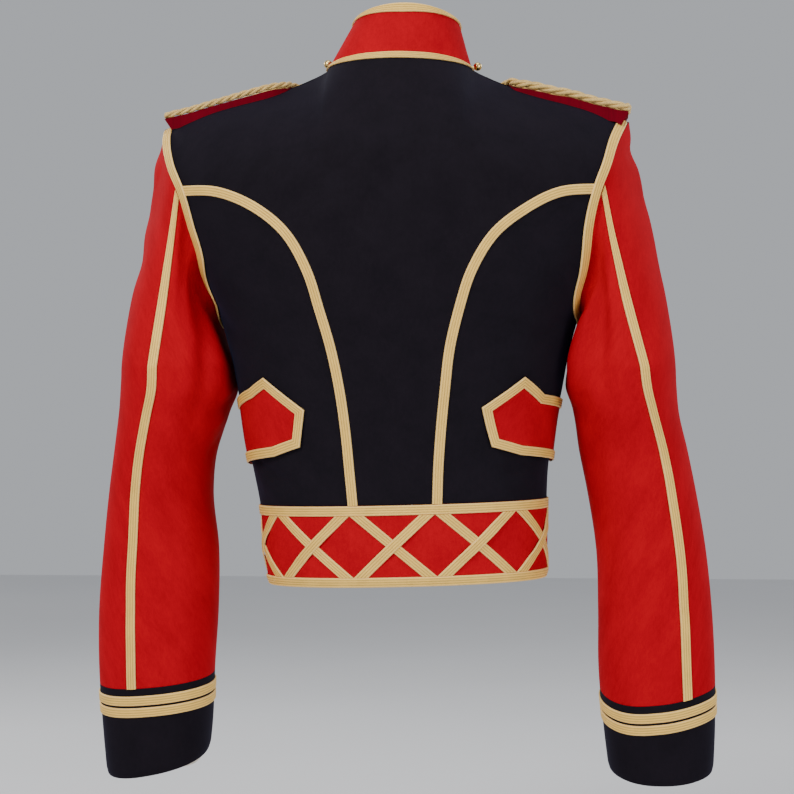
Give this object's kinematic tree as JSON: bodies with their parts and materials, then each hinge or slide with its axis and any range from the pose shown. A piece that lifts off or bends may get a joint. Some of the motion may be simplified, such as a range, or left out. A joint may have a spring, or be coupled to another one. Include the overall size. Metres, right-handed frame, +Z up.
{
  "type": "cropped military jacket",
  "caption": "Waist-length military jacket, filled out with no wearer: curved back seams in gold braid, red sleeves, stand collar, epaulettes, waist flaps and a lattice-braided waistband.",
  "frame": {"origin": "midway between the two side-neck points, at the height where the shoulder seams meet the collar", "axes": "+Z up, from the hem to the collar; +X to the wearer's left; the front faces -Y and the back +Y"},
  "size_m": [0.6275, 0.2802, 0.7733],
  "materials": {
    "navy_wool": "matt brushed wool, midnight navy",
    "red_wool": "matt brushed wool, scarlet",
    "gold_braid": "flat woven metallic braid, soft sheen",
    "gold_cord": "twisted metallic cord, soft sheen",
    "pale_lining": "smooth pale cotton",
    "brass": "polished"
  },
  "bodies": {
    "root": {"armhole_braid_left": "gold_braid", "armhole_braid_right": "gold_braid", "back_panel": "navy_wool", "collar": "red_wool", "collar_braid_base": "gold_braid", "collar_braid_top": "gold_braid", "cuff_braid_lower_left": "gold_braid", "cuff_braid_lower_right": "gold_braid", "cuff_braid_upper_left": "gold_braid", "cuff_braid_upper_right": "gold_braid", "cuff_left": "navy_wool", "cuff_lining_left": "pale_lining", "cuff_lining_right": "pale_lining", "cuff_right": "navy_wool", "epaulette_cord_left": "gold_cord", "epaulette_cord_right": "gold_cord", "epaulette_left": "red_wool", "epaulette_right": "red_wool", "flap_braid_left": "gold_braid", "flap_braid_right": "gold_braid", "flap_left": "red_wool", "flap_right": "red_wool", "front_button_1": "brass", "front_button_2": "brass", "front_button_3": "brass", "front_button_4": "brass", "front_button_5": "brass", "front_button_6": "brass", "front_button_7": "brass", "front_left": "navy_wool", "front_right": "navy_wool", "neck_button_left": "brass", "neck_button_right": "brass", "princess_braid_left": "gold_braid", "princess_braid_right": "gold_braid", "side_back_left": "navy_wool", "side_back_right": "navy_wool", "sleeve_braid_left": "gold_braid", "sleeve_braid_right": "gold_braid", "sleeve_under_left": "red_wool", "sleeve_under_right": "red_wool", "sleeve_upper_left": "red_wool", "sleeve_upper_right": "red_wool", "waistband": "red_wool", "waistband_braid_bottom": "gold_braid", "waistband_braid_top": "gold_braid", "waistband_lattice": "gold_braid"}
  },
  "joints": []
}
